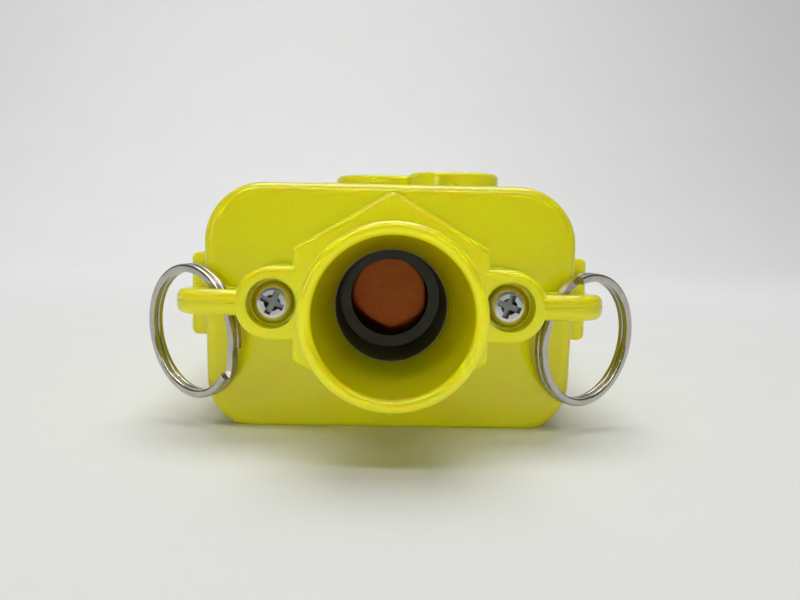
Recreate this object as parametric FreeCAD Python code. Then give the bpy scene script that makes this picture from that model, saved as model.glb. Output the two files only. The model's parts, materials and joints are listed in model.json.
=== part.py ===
import FreeCAD, Part
import math
import os

from FreeCAD import Vector

# Hoist pendant control station, lying on its back, in millimetres.
# +X to the right, +Y along the body away from the cable entry, +Z up through the button side.
# The origin is the centre of the back rest face.

# ---- housing shell ----
BODY_LENGTH = 160.0
BODY_HEIGHT = 45.7
HALF_WIDTH_BACK = 34.1
HALF_WIDTH_FRONT = 35.25
BACK_CORNER_R = 9.8
FRONT_CORNER_R = 11.2
END_EDGE_R = 2.0
BACK_TRIM = 1.0
WALL = 3.0
TOP_WALL = 3.5
CAVITY_BACK_CORNER_R = 5.0
CAVITY_FRONT_CORNER_R = 8.0
Y_ENTRY = -BODY_LENGTH / 2
Y_FAR = BODY_LENGTH / 2
Z_CEILING = BODY_HEIGHT - TOP_WALL

# ---- side rails ----
RAIL_HALF_WIDTH = 38.7
RAIL_Z = (16.2, 32.2)
RAIL_SETBACK = 8.0
RAIL_EDGE_R = 1.5
RAIL_ROOT = 1.0

# ---- back cover, its seal and its screws ----
COVER_THICKNESS = 4.0
COVER_SEAL = 1.0
COVER_HALF_WIDTH = 22.5
COVER_Y = (-73.0, 75.0)
COVER_CORNER_R = 5.0
COVER_GAP = 0.2
HATCH_HALF_WIDTH = 19.8
HATCH_Y = (-70.3, 72.3)
LEDGE = 2.5
Z_LEDGE = COVER_THICKNESS + COVER_SEAL
Z_CAVITY_FLOOR = Z_LEDGE + LEDGE
COVER_SCREW_XY = [(17.0, -66.5), (18.5, -10.0), (17.0, 70.0)]
COVER_SCREW_LENGTH = 16.0
COLUMN_R = 4.0

# ---- screws (self-tapping, 3.9 mm, pan head) ----
SCREW_R = 1.95
SCREW_HEAD_R = 3.75
SCREW_HEAD_HEIGHT = 2.6
SCREW_PILOT_R = 2.0
SCREW_CLEARANCE_R = 2.2
SCREW_DOME_R = 1.56
SCREW_POINT = 2.9
SCREW_TIP_R = 0.1
RECESS_HALF_SPAN = 2.15
RECESS_SLOT = 1.1
RECESS_DEPTH = 1.9
RECESS_MOUTH_R = 1.45
LEFT_SCREW_TURN_DEG = 65.0
RIGHT_SCREW_TURN_DEG = 70.0
SCREW_TURN_STEP_DEG = 35.0

# ---- cable collar: hexagon block, ears, eye tabs and tube, one moulding ----
ENTRY_Z = 24.1
HEX_CIRCUMRADIUS = 19.75
HEX_EDGE_R = 1.0
COLLAR_DEPTH = 14.0
COLLAR_SEAL = 0.8
Y_HEX = Y_ENTRY - COLLAR_DEPTH
Y_COLLAR_BACK = Y_ENTRY - COLLAR_SEAL
EAR_X = 20.75
EAR_R = 6.5
EAR_EDGE_R = 1.0
EAR_COUNTERBORE_R = 4.35
EAR_SCREW_RECESS = 2.0
Y_EAR_SEAT = Y_HEX + EAR_SCREW_RECESS + SCREW_HEAD_HEIGHT
EAR_SCREW_LENGTH = 22.0
EAR_BOSS_R = 4.0
EAR_BOSS_LENGTH = 12.0
TUBE_LENGTH = 23.2
TUBE_R = 14.45
TUBE_MOUTH_R = 12.3
TUBE_ROOT_R = 9.75
TUBE_LIP_R = 1.0
TAB_THICKNESS = 4.5
TAB_DEPTH = 12.0
TAB_END_X = 37.9
TAB_EDGE_R = 1.5
EYE_X = 29.4
EYE_Y = -88.6
EYE_R = 3.2

# ---- rubber bush in the cable entry ----
BUSH_R = 12.5
BUSH_SEAT_GAP = 0.1
BUSH_BORE_R = 9.65
BUSH_LIP_R = 7.5
BUSH_LIP_Y = (-73.0, -69.0)
BUSH_FLANGE_R = 14.5
BUSH_FLANGE = 2.5
BUSH_NOSE_R = 11.5
BUSH_SHOULDER = 0.3
SEAL_DISC_R = 15.5
SEAL_LOBE_R = 5.5

# ---- split rings ----
RING_OUTER_R = 12.5
RING_RADIAL = 1.5
COIL_THICKNESS = 1.2
COIL_EDGE_R = 0.42
LEFT_RING_REACH = 9.84
LEFT_RING_DROP = 6.25
LEFT_RING_YAW_DEG = 42.0
RIGHT_RING_REACH = 9.27
RIGHT_RING_DROP = 6.66
RIGHT_RING_YAW_DEG = 37.5
RING_LEAN_DEG = 5.0
CROSSOVER_ARC = 6.0
CROSSOVER_OVERLAP = 0.3
RIGHT_CUT_DEG = 122.0
LEFT_CUT_DEG = 205.0

# ---- push buttons ----
COLLAR_RISE = 3.8
Z_RIM = BODY_HEIGHT + COLLAR_RISE
RIM_EDGE_R = 1.0
RIM_INNER_EDGE = 0.4
SMALL_SHROUD_R = 9.75
SMALL_BORE_R = 7.4
CAP_R = 7.1
CAP_BELOW_RIM = 0.6
CAP_EDGE_R = 0.7
CAP_FLANGE_R = 8.4
CAP_FLANGE = 1.5
SEAL = 0.8
SEAL_R = 8.9
RUN_GAP = 0.3
Z_SEAL = Z_CEILING - SEAL
Z_FLANGE_TOP = Z_SEAL - RUN_GAP
CAP_TRAVEL = 3.5
STEM_R = 2.5
SYMBOL_DEPTH = 0.4
START_RING_R = (2.5, 3.4)
ARROW_LENGTH = 8.4
ARROW_WIDTH = 6.4
ARROW_NECK = 2.4
ARROW_TURN_DEG = {"up": 0, "down": 180, "west": 90, "east": -90, "south": 135, "north": -45}
START_XY = (13.6, -50.0)
MOTION_X = 12.0
MOTION_Y = (5.0, 29.5, 54.0)

# ---- stop button: twisting head on a sliding stem ----
STOP_XY = (0.0, -32.0)
STOP_SHROUD_R = 12.4
STOP_BORE_R = 10.2
STOP_HEAD_R = 9.8
STOP_BELOW_RIM = 0.7
STOP_FLANGE_R = 11.4
STOP_FLANGE = 1.8
STOP_SEAL_R = 12.2
STOP_TRAVEL = 4.0
STOP_DISH_R = 8.1
STOP_DISH_DEPTH = 2.6
STOP_GRIP = 3.6
Z_HEAD_UNDER = Z_FLANGE_TOP + RUN_GAP
STOP_SOCKET_GAP = 0.05
STOP_SOCKET_DEPTH = 3.5
Z_SOCKET_TOP = Z_HEAD_UNDER + STOP_SOCKET_DEPTH

# ---- mounting board and contact blocks ----
BOARD_THICKNESS = 2.0
Z_BOARD = 10.0
BOARD_HALF_WIDTH = 19.2
BOARD_Y = (-61.5, 65.5)
BOARD_CORNER_R = 2.0
POST_R = 3.5
POST_XY = [(-13.0, -52.0), (-15.0, -22.0), (15.0, -22.0), (0.0, 17.25), (0.0, 60.0)]
BOARD_SCREW_LENGTH = 10.0
Z_BLOCK = Z_BOARD + BOARD_THICKNESS
Z_BLOCK_TOP = 31.5
Z_BLOCK_WAIST = 24.0
BLOCK_WIDTH = 10.4
BLOCK_LENGTH = 21.0
STOP_BLOCK_WIDTH = 16.4
STOP_BLOCK_LENGTH = 24.0
BLOCK_UNDERCUT = 3.0
BLOCK_EDGE = 0.5
BLOCK_WALL = 1.2
PEG_R = 1.4
PEG_GAP = 0.05
WINDOW_HALF_X = 3.6
WINDOW_Z = (14.0, 23.0)
STEM_GAP = 0.3
CONTACT_THICKNESS = 0.8
CONTACT_HALF_WIDTH = 2.0
CONTACT_GAP = 0.5
STRIP_GAP = 0.4
BRIDGE_HALF_LENGTH = 5.0
TERMINAL_INSET = 2.4
TERMINAL_HEAD_R = 2.0
TERMINAL_HEAD = 1.4
TERMINAL_SLOT = 0.6
TERMINAL_R = 1.2
TERMINAL_GAP = 0.1
Z_PAD = 25.2
Z_SCREW_TIP = 24.8
Z_OPEN_STRIP = 15.2
STEM_TAIL = 0.8

# ---- return springs ----
SPRING_R = 4.2
SPRING_WIRE_R = 0.45
SPRING_TURNS = 4.5
STOP_SPRING_R = 6.2
STOP_SPRING_WIRE_R = 0.55
STOP_SPRING_TURNS = 3.5
WIRE_FLATS = 8

# ---- how far a cutting shape runs past, and what counts as no length ----
OVERCUT = 1.0
SMALL = 0.01
LONG_EDGE = 20.0
SIDES = (-1, 1)

Y_AXIS = Vector(0, 1, 0)
Z_AXIS = Vector(0, 0, 1)


# ---- basic shapes ----
def box(x_range, y_range, z_range):
    """A block between two values on each axis."""
    size = [high - low for low, high in (x_range, y_range, z_range)]
    return Part.makeBox(*size, Vector(x_range[0], y_range[0], z_range[0]))


def upright(radius, x, y, z_low, z_high):
    """A cylinder along Z."""
    return Part.makeCylinder(radius, z_high - z_low, Vector(x, y, z_low), Z_AXIS)


def along_y(radius, x, z, y_low, y_high):
    """A cylinder along Y."""
    return Part.makeCylinder(radius, y_high - y_low, Vector(x, y_low, z), Y_AXIS)


def edges_where(shape, test):
    """The edges of a shape whose bounding box passes the test."""
    return [edge for edge in shape.Edges if test(edge.BoundBox)]


def flat_in(bounds, axis, value):
    """True if a bounding box lies in the plane axis = value."""
    low = getattr(bounds, axis + "Min")
    high = getattr(bounds, axis + "Max")
    return abs(low - value) < SMALL and abs(high - value) < SMALL


def plate(half_width, y_range, corner, z_range):
    """An upright-edged plate, symmetric in X, with rounded corners."""
    shape = box((-half_width, half_width), y_range, z_range)
    corners = edges_where(shape, lambda b: b.XLength < SMALL and b.YLength < SMALL)
    return shape.makeFillet(corner, corners)


def both_sides(points):
    """Every point and its mirror image in X."""
    return [(side * x, y) for x, y in points for side in SIDES]


def fused(shapes):
    """One solid from touching or overlapping shapes."""
    return shapes[0].fuse(shapes[1:]).removeSplitter()


def group(shapes):
    """Separate solids that share one node."""
    return Part.makeCompound(shapes)


# ---- housing ----
def drafted_prism(half_back, half_front, z_range, y_range):
    """A bar along Y whose sides lean outwards from back to front."""
    z_low, z_high = z_range
    outline = [(-half_back, z_low), (half_back, z_low), (half_front, z_high), (-half_front, z_high)]
    points = [Vector(x, y_range[0], z) for x, z in outline + outline[:1]]
    return Part.Face(Part.makePolygon(points)).extrude(Vector(0, y_range[1] - y_range[0], 0))


def round_long_edges(shape, z, radius):
    """Round the edges along Y that lie at one height."""
    long_edges = edges_where(shape, lambda b: b.YLength > LONG_EDGE and flat_in(b, "Z", z))
    return shape.makeFillet(radius, long_edges)


def half_width_at(z):
    """Outside half width of the housing at a height."""
    return HALF_WIDTH_BACK + (HALF_WIDTH_FRONT - HALF_WIDTH_BACK) * z / BODY_HEIGHT


def housing_outside():
    """The drafted outer body with its rounded corners and ends, trimmed flat at the back."""
    shape = drafted_prism(HALF_WIDTH_BACK, HALF_WIDTH_FRONT, (-BACK_TRIM, BODY_HEIGHT), (Y_ENTRY, Y_FAR))
    shape = round_long_edges(shape, -BACK_TRIM, BACK_CORNER_R)
    shape = round_long_edges(shape, BODY_HEIGHT, FRONT_CORNER_R)
    ends = edges_where(shape, lambda b: flat_in(b, "Y", Y_ENTRY) or flat_in(b, "Y", Y_FAR))
    shape = shape.makeFillet(END_EDGE_R, ends)
    below = box((-RAIL_HALF_WIDTH, RAIL_HALF_WIDTH), (Y_ENTRY - OVERCUT, Y_FAR + OVERCUT), (-2 * BACK_TRIM, 0))
    return shape.cut(below)


def housing_cavity():
    """The hollow inside, from the hatch ledge up to the button wall."""
    half_back = half_width_at(Z_CAVITY_FLOOR) - WALL
    half_front = half_width_at(Z_CEILING) - WALL
    y_range = (Y_ENTRY + WALL, Y_FAR - WALL)
    shape = drafted_prism(half_back, half_front, (Z_CAVITY_FLOOR, Z_CEILING), y_range)
    shape = round_long_edges(shape, Z_CAVITY_FLOOR, CAVITY_BACK_CORNER_R)
    return round_long_edges(shape, Z_CEILING, CAVITY_FRONT_CORNER_R)


def side_rails():
    """A proud grip rail along each side."""
    y_range = (Y_ENTRY + RAIL_SETBACK, Y_FAR - RAIL_SETBACK)
    rails = []
    for side in SIDES:
        inner = side * (HALF_WIDTH_BACK - RAIL_ROOT)
        outer = side * RAIL_HALF_WIDTH
        rail = box(sorted((inner, outer)), y_range, RAIL_Z)
        rails.append(rail.makeFillet(RAIL_EDGE_R, edges_where(rail, lambda b: flat_in(b, "X", outer))))
    return rails


def shrouds():
    """The raised collars round the buttons."""
    places = [(STOP_XY, STOP_SHROUD_R)]
    places += [(xy, SMALL_SHROUD_R) for _, xy in small_buttons()]
    rings = []
    for (x, y), radius in places:
        ring = upright(radius, x, y, Z_CEILING, Z_RIM)
        rings.append(ring.makeFillet(RIM_EDGE_R, edges_where(ring, lambda b: flat_in(b, "Z", Z_RIM))))
    return rings


def button_bores():
    """The holes that the button caps slide in, with an eased rim."""
    places = [(STOP_XY, STOP_BORE_R)]
    places += [(xy, SMALL_BORE_R) for _, xy in small_buttons()]
    cuts = []
    for (x, y), radius in places:
        cuts.append(upright(radius, x, y, Z_CEILING - OVERCUT, Z_RIM + OVERCUT))
        cuts.append(Part.makeCone(radius, radius + RIM_INNER_EDGE, RIM_INNER_EDGE,
                                  Vector(x, y, Z_RIM - RIM_INNER_EDGE), Z_AXIS))
    return cuts


def housing():
    """The front shell: walls, shrouds, screw columns and the ledge round the hatch."""
    body = housing_outside().cut(housing_cavity())
    inside = [upright(COLUMN_R, x, y, Z_LEDGE, Z_CEILING) for x, y in both_sides(COVER_SCREW_XY)]
    inside += [upright(POST_R, x, y, Z_BLOCK, Z_CEILING) for x, y in POST_XY]
    y_boss = (Y_ENTRY + WALL, Y_ENTRY + WALL + EAR_BOSS_LENGTH)
    inside += [along_y(EAR_BOSS_R, side * EAR_X, ENTRY_Z, *y_boss) for side in SIDES]
    body = fused([body] + side_rails() + shrouds())
    hatch_y = (COVER_Y[0] - COVER_GAP, COVER_Y[1] + COVER_GAP)
    cuts = [plate(COVER_HALF_WIDTH + COVER_GAP, hatch_y, COVER_CORNER_R, (-OVERCUT, Z_LEDGE))]
    cuts.append(plate(HATCH_HALF_WIDTH, HATCH_Y, COVER_CORNER_R - LEDGE, (0, Z_CAVITY_FLOOR + OVERCUT)))
    cuts.append(along_y(BUSH_R + BUSH_SEAT_GAP, 0, ENTRY_Z, Y_ENTRY - OVERCUT, Y_ENTRY + WALL + OVERCUT))
    body = fused([body.cut(cuts)] + inside)
    holes = button_bores()
    for x, y in both_sides(COVER_SCREW_XY):
        holes.append(upright(SCREW_PILOT_R, x, y, Z_LEDGE - OVERCUT, COVER_SCREW_LENGTH + COVER_THICKNESS))
    for x, y in POST_XY:
        holes.append(upright(SCREW_PILOT_R, x, y, Z_BLOCK - OVERCUT, Z_BLOCK + BOARD_SCREW_LENGTH))
    y_pilot = (Y_ENTRY - OVERCUT, Y_ENTRY + WALL + EAR_BOSS_LENGTH - OVERCUT)
    holes += [along_y(SCREW_PILOT_R, side * EAR_X, ENTRY_Z, *y_pilot) for side in SIDES]
    return body.cut(holes).removeSplitter()


# ---- screws ----
def pan_screw(length):
    """A cross-recessed pan-head screw, head on +Z, its seat at the origin, shank down."""
    head = Part.makeCylinder(SCREW_HEAD_R, SCREW_HEAD_HEIGHT)
    head = head.makeFillet(SCREW_DOME_R, edges_where(head, lambda b: flat_in(b, "Z", SCREW_HEAD_HEIGHT)))
    shank = upright(SCREW_R, 0, 0, SCREW_POINT - length, 0)
    point = Part.makeCone(SCREW_TIP_R, SCREW_R, SCREW_POINT, Vector(0, 0, -length), Z_AXIS)
    z_recess = (SCREW_HEAD_HEIGHT - RECESS_DEPTH, SCREW_HEAD_HEIGHT + OVERCUT)
    half_slot = RECESS_SLOT / 2
    slot_x = box((-RECESS_HALF_SPAN, RECESS_HALF_SPAN), (-half_slot, half_slot), z_recess)
    slot_y = box((-half_slot, half_slot), (-RECESS_HALF_SPAN, RECESS_HALF_SPAN), z_recess)
    centre = Part.makeCone(half_slot, RECESS_MOUTH_R, RECESS_DEPTH, Vector(0, 0, z_recess[0]), Z_AXIS)
    return fused([head, shank, point]).cut([slot_x, slot_y, centre]).removeSplitter()


def placed(shape, at, axis, turn_deg=0):
    """A shape made along +Z, turned about it, then aimed along an axis and moved."""
    aim = FreeCAD.Rotation(Z_AXIS, axis)
    spin = FreeCAD.Rotation(Z_AXIS, turn_deg)
    moved = shape.copy()
    moved.Placement = FreeCAD.Placement(Vector(*at), aim.multiply(spin))
    return moved


def cover_screws():
    """The screws of the back cover, each turned differently."""
    screw = pan_screw(COVER_SCREW_LENGTH)
    spots = enumerate(both_sides(COVER_SCREW_XY))
    return group([placed(screw, (x, y, SCREW_HEAD_HEIGHT), -Z_AXIS, count * SCREW_TURN_STEP_DEG)
                  for count, (x, y) in spots])


def collar_screws():
    """The two screws through the ears."""
    screw = pan_screw(EAR_SCREW_LENGTH)
    left = placed(screw, (-EAR_X, Y_EAR_SEAT, ENTRY_Z), -Y_AXIS, LEFT_SCREW_TURN_DEG)
    right = placed(screw, (EAR_X, Y_EAR_SEAT, ENTRY_Z), -Y_AXIS, RIGHT_SCREW_TURN_DEG)
    return group([left, right])


def board_screws():
    """The screws that hold the mounting board to its posts."""
    screw = pan_screw(BOARD_SCREW_LENGTH)
    return group([placed(screw, (x, y, Z_BOARD), -Z_AXIS, count * SCREW_TURN_STEP_DEG)
                  for count, (x, y) in enumerate(POST_XY)])


# ---- back cover ----
def back_cover():
    """The inset plate that closes the back."""
    cover = plate(COVER_HALF_WIDTH, COVER_Y, COVER_CORNER_R, (0, COVER_THICKNESS))
    cuts = []
    for x, y in both_sides(COVER_SCREW_XY):
        cuts.append(upright(SCREW_HEAD_R + COVER_GAP, x, y, -OVERCUT, SCREW_HEAD_HEIGHT))
        cuts.append(upright(SCREW_CLEARANCE_R, x, y, 0, COVER_THICKNESS + OVERCUT))
    return cover.cut(cuts).removeSplitter()


def cover_seal():
    """The flat rubber seal between the cover and the ledge, with lobes round the columns."""
    z_range = (COVER_THICKNESS, Z_LEDGE)
    outer = plate(COVER_HALF_WIDTH, COVER_Y, COVER_CORNER_R, z_range)
    inner = plate(HATCH_HALF_WIDTH, HATCH_Y, COVER_CORNER_R - LEDGE, z_range)
    spots = both_sides(COVER_SCREW_XY)
    lobes = [upright(COLUMN_R, x, y, *z_range) for x, y in spots]
    holes = [upright(SCREW_CLEARANCE_R, x, y, *z_range) for x, y in spots]
    return fused([outer.cut(inner)] + lobes).cut(holes).removeSplitter()


# ---- cable collar ----
def hexagon_block():
    """The hexagonal block, points up and down, with eased front edges."""
    points = []
    for corner in range(7):
        angle = math.radians(90 + 60 * corner)
        points.append(Vector(HEX_CIRCUMRADIUS * math.cos(angle), Y_HEX,
                             ENTRY_Z + HEX_CIRCUMRADIUS * math.sin(angle)))
    block = Part.Face(Part.makePolygon(points)).extrude(Vector(0, Y_COLLAR_BACK - Y_HEX, 0))
    return block.makeFillet(HEX_EDGE_R, edges_where(block, lambda b: not flat_in(b, "Y", Y_COLLAR_BACK)))


def ear(side):
    """An ear for one collar screw: a round end on a web as tall as it that runs into the block."""
    end = along_y(EAR_R, side * EAR_X, ENTRY_Z, Y_HEX, Y_COLLAR_BACK)
    web = box(sorted((side * TUBE_ROOT_R, side * EAR_X)), (Y_HEX, Y_COLLAR_BACK),
              (ENTRY_Z - EAR_R, ENTRY_Z + EAR_R))
    shape = fused([end, web])
    return shape.makeFillet(EAR_EDGE_R, edges_where(shape, lambda b: flat_in(b, "Y", Y_HEX)))


def eye_tab(side):
    """A level tab outside an ear, rounded at its end, that carries a ring's eye."""
    z_range = (ENTRY_Z - TAB_THICKNESS / 2, ENTRY_Z + TAB_THICKNESS / 2)
    y_range = (Y_HEX, Y_HEX + TAB_DEPTH)
    centre_x = side * (TAB_END_X - TAB_DEPTH / 2)
    bar = box(sorted((side * EAR_X, centre_x)), y_range, z_range)
    end = upright(TAB_DEPTH / 2, centre_x, Y_HEX + TAB_DEPTH / 2, *z_range)
    tab = fused([bar, end])
    rim = edges_where(tab, lambda b: b.ZLength < SMALL and not flat_in(b, "X", side * EAR_X))
    return tab.makeFillet(TAB_EDGE_R, rim)


def entry_tube():
    """The round tube, with a rolled lip and a bore that narrows towards the block."""
    y_mouth = Y_HEX - TUBE_LENGTH
    lip = TUBE_LIP_R
    ease = lip * (1 - math.cos(math.radians(45)))
    wall = [Vector(TUBE_ROOT_R, Y_HEX + OVERCUT, 0), Vector(TUBE_ROOT_R, Y_HEX, 0),
            Vector(TUBE_MOUTH_R, y_mouth + lip, 0)]
    edges = [Part.LineSegment(wall[0], wall[1]), Part.LineSegment(wall[1], wall[2])]
    crown_in = Vector(TUBE_MOUTH_R + lip, y_mouth, 0)
    edges.append(Part.Arc(wall[2], Vector(TUBE_MOUTH_R + ease, y_mouth + ease, 0), crown_in))
    crown_out = Vector(TUBE_R - lip, y_mouth, 0)
    if crown_out.x - crown_in.x > SMALL:
        edges.append(Part.LineSegment(crown_in, crown_out))
    outside = [Vector(TUBE_R, y_mouth + lip, 0), Vector(TUBE_R, Y_HEX + OVERCUT, 0)]
    edges.append(Part.Arc(crown_out, Vector(TUBE_R - ease, y_mouth + ease, 0), outside[0]))
    edges.append(Part.LineSegment(outside[0], outside[1]))
    edges.append(Part.LineSegment(outside[1], wall[0]))
    profile = Part.Face(Part.Wire([edge.toShape() for edge in edges]))
    tube = profile.revolve(Vector(0, 0, 0), Y_AXIS, 360)
    tube.translate(Vector(0, 0, ENTRY_Z))
    return tube


def cable_collar():
    """One moulding: block, ears, tabs and tube."""
    solid_parts = [hexagon_block()]
    for side in SIDES:
        solid_parts += [ear(side), eye_tab(side)]
    body = fused(solid_parts)
    bore = along_y(TUBE_ROOT_R, 0, ENTRY_Z, Y_HEX - OVERCUT, Y_COLLAR_BACK + OVERCUT)
    body = fused([body.cut(bore), entry_tube()])
    cuts = [along_y(BUSH_R + BUSH_SEAT_GAP, 0, ENTRY_Z, Y_HEX + BUSH_SHOULDER, Y_COLLAR_BACK + OVERCUT)]
    for side in SIDES:
        cuts.append(along_y(EAR_COUNTERBORE_R, side * EAR_X, ENTRY_Z, Y_HEX - OVERCUT, Y_EAR_SEAT))
        cuts.append(along_y(SCREW_CLEARANCE_R, side * EAR_X, ENTRY_Z, Y_HEX, Y_COLLAR_BACK + OVERCUT))
        cuts.append(upright(EYE_R, side * EYE_X, EYE_Y, ENTRY_Z - TAB_THICKNESS, ENTRY_Z + TAB_THICKNESS))
    return body.cut(cuts).removeSplitter()


def collar_seal():
    """The flat rubber seal between the collar and the end wall."""
    y_low, y_high = (Y_COLLAR_BACK, Y_ENTRY)
    disc = along_y(SEAL_DISC_R, 0, ENTRY_Z, y_low, y_high)
    lobes = [along_y(SEAL_LOBE_R, side * EAR_X, ENTRY_Z, y_low, y_high) for side in SIDES]
    holes = [along_y(BUSH_R + BUSH_SEAT_GAP, 0, ENTRY_Z, y_low, y_high)]
    holes += [along_y(SCREW_CLEARANCE_R, side * EAR_X, ENTRY_Z, y_low, y_high) for side in SIDES]
    return fused([disc] + lobes).cut(holes).removeSplitter()


def cable_bushing():
    """The rubber bush that grips the cable, pushed in from inside the housing."""
    y_front = Y_HEX + BUSH_SHOULDER
    y_wall = Y_ENTRY + WALL
    body = along_y(BUSH_R, 0, ENTRY_Z, y_front, y_wall)
    flange = along_y(BUSH_FLANGE_R, 0, ENTRY_Z, y_wall, y_wall + BUSH_FLANGE)
    nose = Part.makeCone(BUSH_R, BUSH_NOSE_R, BUSH_LIP_Y[1] - y_wall - BUSH_FLANGE,
                         Vector(0, y_wall + BUSH_FLANGE, ENTRY_Z), Y_AXIS)
    bore = along_y(BUSH_BORE_R, 0, ENTRY_Z, y_front - OVERCUT, BUSH_LIP_Y[0])
    lip = along_y(BUSH_LIP_R, 0, ENTRY_Z, BUSH_LIP_Y[0] - OVERCUT, BUSH_LIP_Y[1] + OVERCUT)
    return fused([body, flange, nose]).cut([bore, lip]).removeSplitter()


# ---- split rings ----
def coil(z_low, sweep_deg, start_deg):
    """One turn of flat-section wire with eased edges."""
    inner = RING_OUTER_R - RING_RADIAL
    z_high = z_low + COIL_THICKNESS
    section = Part.makePolygon([Vector(inner, 0, z_low), Vector(RING_OUTER_R, 0, z_low),
                                Vector(RING_OUTER_R, 0, z_high), Vector(inner, 0, z_high),
                                Vector(inner, 0, z_low)])
    turn = Part.Face(section).revolve(Vector(0, 0, 0), Z_AXIS, sweep_deg)
    turn.rotate(Vector(0, 0, 0), Z_AXIS, start_deg)
    hoops = [edge for edge in turn.Edges if edge.Curve.TypeId == "Part::GeomCircle"]
    return turn.makeFillet(COIL_EDGE_R, hoops)


def split_ring_flat(cut_deg):
    """A two-turn split ring about Z, its crossover centred on an angle."""
    middle = RING_OUTER_R - RING_RADIAL / 2
    gap_deg = math.degrees(CROSSOVER_ARC / middle)
    sweep = 360 - gap_deg
    start = cut_deg + gap_deg / 2
    lower = coil(-COIL_THICKNESS, sweep, start)
    upper = coil(0, sweep, start)
    return fused([lower, upper, crossover(cut_deg, middle)])


def crossover(cut_deg, middle):
    """The slanting stretch of wire that joins the two turns."""
    half = CROSSOVER_ARC / 2 + CROSSOVER_OVERLAP
    corners = [(-half, -COIL_THICKNESS), (half, 0), (half, COIL_THICKNESS), (-half, 0)]
    points = [Vector(middle - RING_RADIAL, along, z) for along, z in corners + corners[:1]]
    slant = Part.Face(Part.makePolygon(points)).extrude(Vector(2 * RING_RADIAL, 0, 0))
    hoop = upright(RING_OUTER_R, 0, 0, -OVERCUT, OVERCUT)
    hole = upright(RING_OUTER_R - RING_RADIAL, 0, 0, -OVERCUT, OVERCUT)
    stretch = slant.common(hoop.cut(hole))
    stretch.rotate(Vector(0, 0, 0), Z_AXIS, cut_deg)
    return stretch


def split_ring(side, reach, drop, yaw_deg, cut_deg):
    """A ring threaded through one eye, standing on edge and leaning a little."""
    yaw = math.radians(yaw_deg)
    lean = math.radians(RING_LEAN_DEG)
    outward = Vector(side * math.cos(yaw), math.sin(yaw), 0)
    inward = Vector(-side * math.sin(yaw), math.cos(yaw), 0)
    up = Z_AXIS * math.cos(lean) - inward * math.sin(lean)
    normal = outward.cross(up)
    centre = Vector(side * EYE_X, EYE_Y, ENTRY_Z) + outward * reach - up * drop
    frame = FreeCAD.Matrix(outward.x, up.x, normal.x, centre.x,
                           outward.y, up.y, normal.y, centre.y,
                           outward.z, up.z, normal.z, centre.z,
                           0, 0, 0, 1)
    ring = split_ring_flat(cut_deg)
    ring.Placement = FreeCAD.Placement(frame)
    return ring


# ---- buttons ----
def small_buttons():
    """Every small button's name and place."""
    names = [("up_button", "down_button"), ("west_button", "east_button"), ("south_button", "north_button")]
    spots = [("start_button", START_XY)]
    for row, y in zip(names, MOTION_Y):
        spots += [(row[0], (-MOTION_X, y)), (row[1], (MOTION_X, y))]
    return spots


def arrow(turn_deg):
    """An arrow-shaped tool for sinking a symbol, turned from +Y."""
    tip = ARROW_LENGTH / 2
    shoulder = tip - ARROW_WIDTH / 2
    half = ARROW_NECK / 2
    right = [(0, tip), (ARROW_WIDTH / 2, shoulder), (half, shoulder), (half, -tip)]
    left = [(-x, y) for x, y in reversed(right)]
    face = Part.Face(Part.makePolygon([Vector(x, y, 0) for x, y in right + left]))
    shape = face.extrude(Vector(0, 0, SYMBOL_DEPTH + OVERCUT))
    shape.rotate(Vector(0, 0, 0), Z_AXIS, turn_deg)
    return shape


def cap_symbol(name):
    """The tool that sinks a button's symbol into its face."""
    if name == "start_button":
        inner, outer = [Part.makeCylinder(radius, SYMBOL_DEPTH + OVERCUT) for radius in START_RING_R]
        return outer.cut(inner)
    return arrow(ARROW_TURN_DEG[name.removesuffix("_button")])


def button_cap(name, xy):
    """A round cap with a retaining flange and a stem that works its contact block."""
    x, y = xy
    z_top = Z_RIM - CAP_BELOW_RIM
    z_flange = Z_FLANGE_TOP - CAP_FLANGE
    cap = upright(CAP_R, x, y, z_flange, z_top)
    cap = cap.makeFillet(CAP_EDGE_R, edges_where(cap, lambda b: flat_in(b, "Z", z_top)))
    flange = upright(CAP_FLANGE_R, x, y, z_flange, Z_FLANGE_TOP)
    stem = upright(STEM_R, x, y, bridge_z(CAP_TRAVEL) - STEM_TAIL, z_flange)
    symbol = cap_symbol(name)
    symbol.translate(Vector(x, y, z_top - SYMBOL_DEPTH))
    return fused([cap, flange, stem]).cut(symbol).removeSplitter()


def ring_seal(xy, outer, inner):
    """A flat rubber ring under the button wall."""
    return upright(outer, *xy, Z_SEAL, Z_CEILING).cut(upright(inner, *xy, Z_SEAL, Z_CEILING))


def button_seals():
    """The rubber rings round all the buttons."""
    rings = [ring_seal(xy, SEAL_R, SMALL_BORE_R) for _, xy in small_buttons()]
    return group(rings + [ring_seal(STOP_XY, STOP_SEAL_R, STOP_BORE_R)])


def stop_stem():
    """The sliding stem, with the flange that keeps it behind the wall."""
    flange = upright(STOP_FLANGE_R, *STOP_XY, Z_FLANGE_TOP - STOP_FLANGE, Z_FLANGE_TOP)
    stem = upright(STEM_R, *STOP_XY, bridge_z(STOP_TRAVEL) - STEM_TAIL, Z_SOCKET_TOP - RUN_GAP)
    return fused([flange, stem])


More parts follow.
